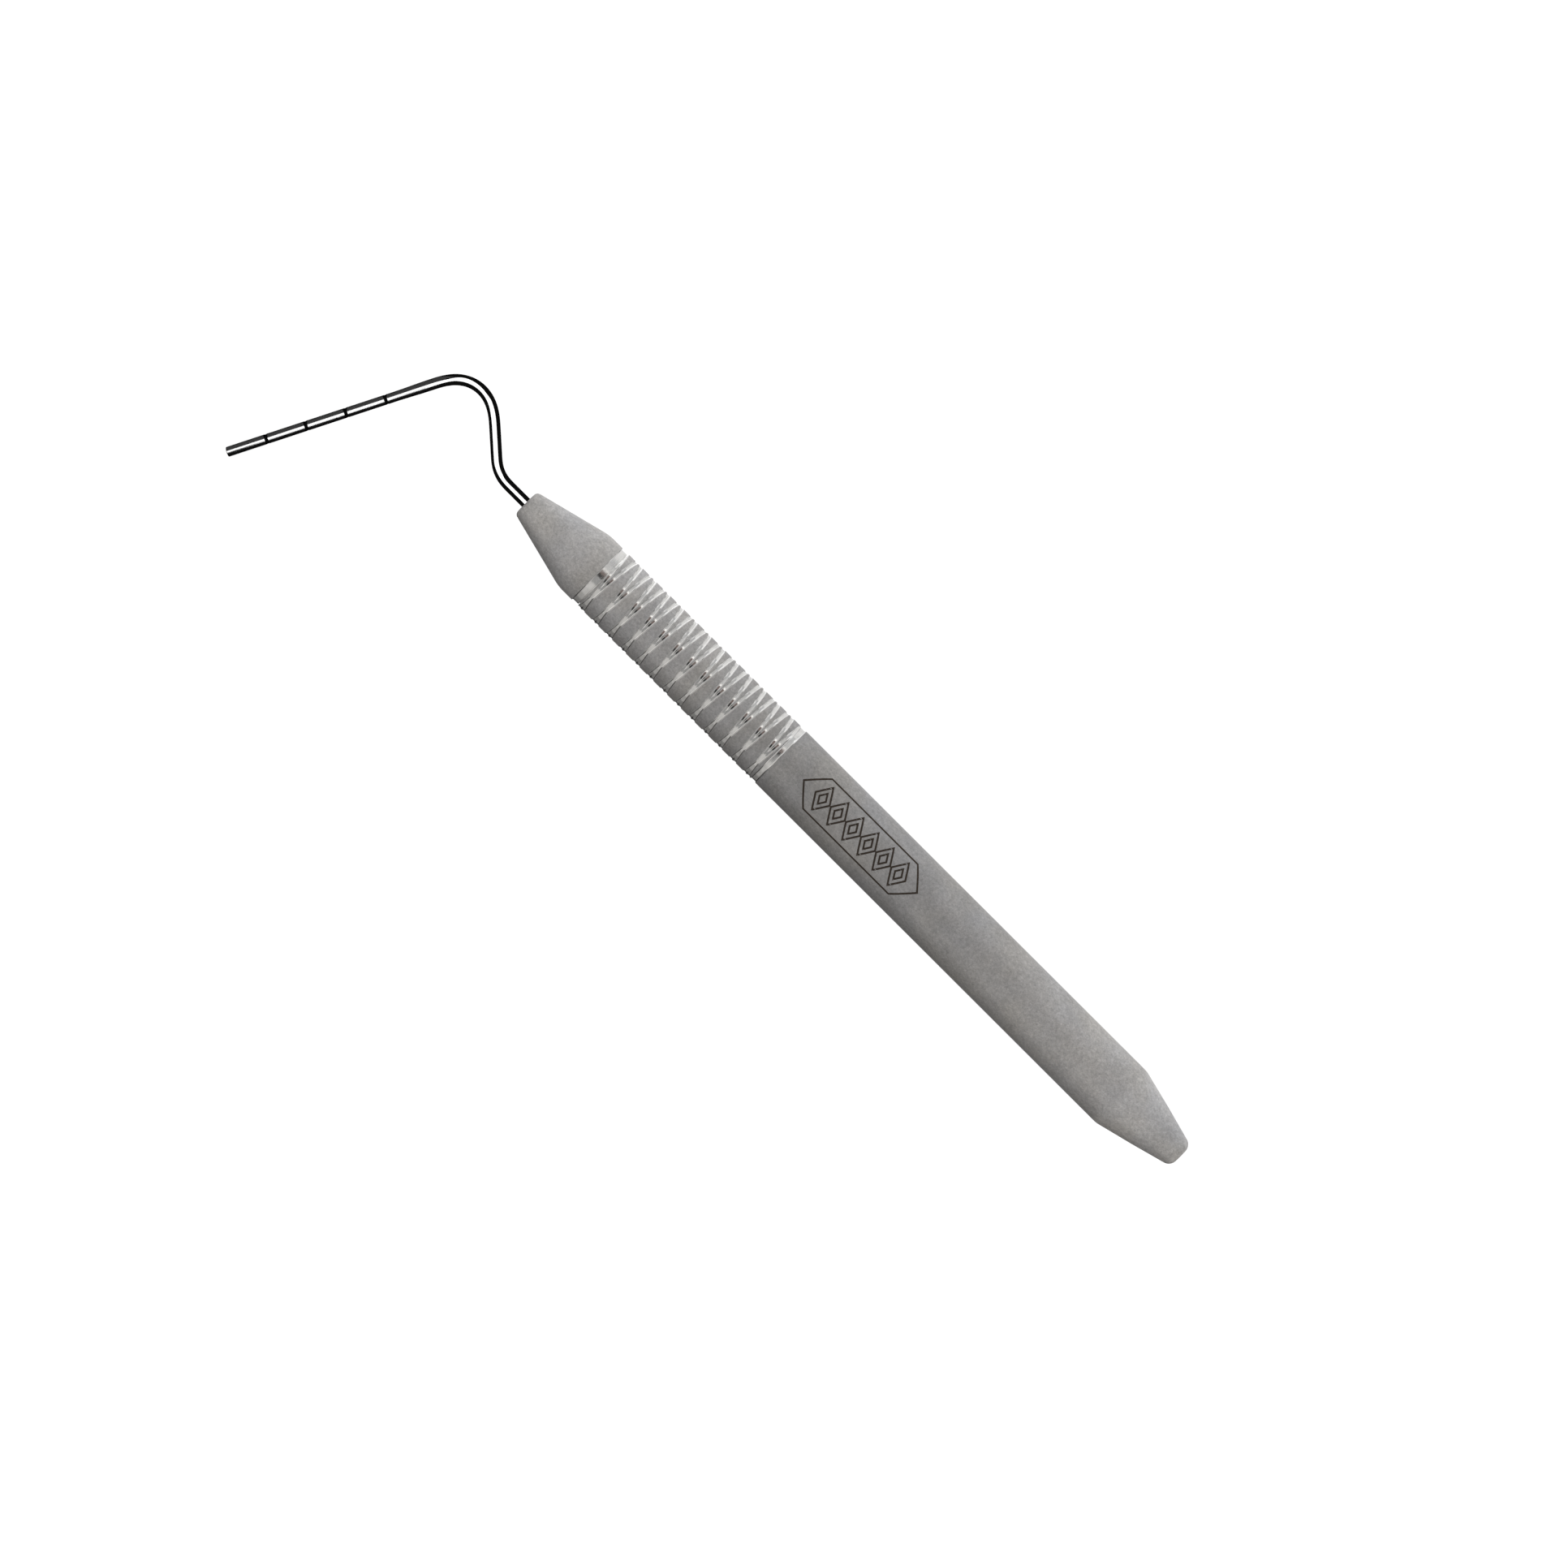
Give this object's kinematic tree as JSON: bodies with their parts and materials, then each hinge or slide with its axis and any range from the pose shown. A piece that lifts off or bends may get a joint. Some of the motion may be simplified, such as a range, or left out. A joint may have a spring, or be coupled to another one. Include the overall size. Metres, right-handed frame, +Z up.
{
  "type": "endodontic plugger",
  "caption": "Single-ended endodontic plugger: a bent polished rod with black depth marks, set in a hollow bead-blasted handle with a crossed helical grip.",
  "frame": {"origin": "middle of the bounding box's bottom face, on the tray that the instrument lies on", "axes": "+X along the handle towards the nose and the tip, +Y to the side that the tip hooks to, +Z up from the tray; the bent rod has rolled about the handle's axis until its tip touches the tray"},
  "size_m": [0.1382, 0.0272, 0.0085],
  "materials": {
    "polished_steel": "bright polished stainless steel",
    "black_enamel": "satin black enamel",
    "blasted_steel": "matte bead-blasted stainless steel, polished in the grooves"
  },
  "bodies": {
    "root": {"working_end": "polished_steel", "depth_mark_05": "black_enamel", "depth_mark_10": "black_enamel", "depth_mark_15": "black_enamel", "depth_mark_20": "black_enamel", "nose_cone": "blasted_steel", "handle_tube": "blasted_steel", "end_plug": "blasted_steel"}
  },
  "joints": []
}
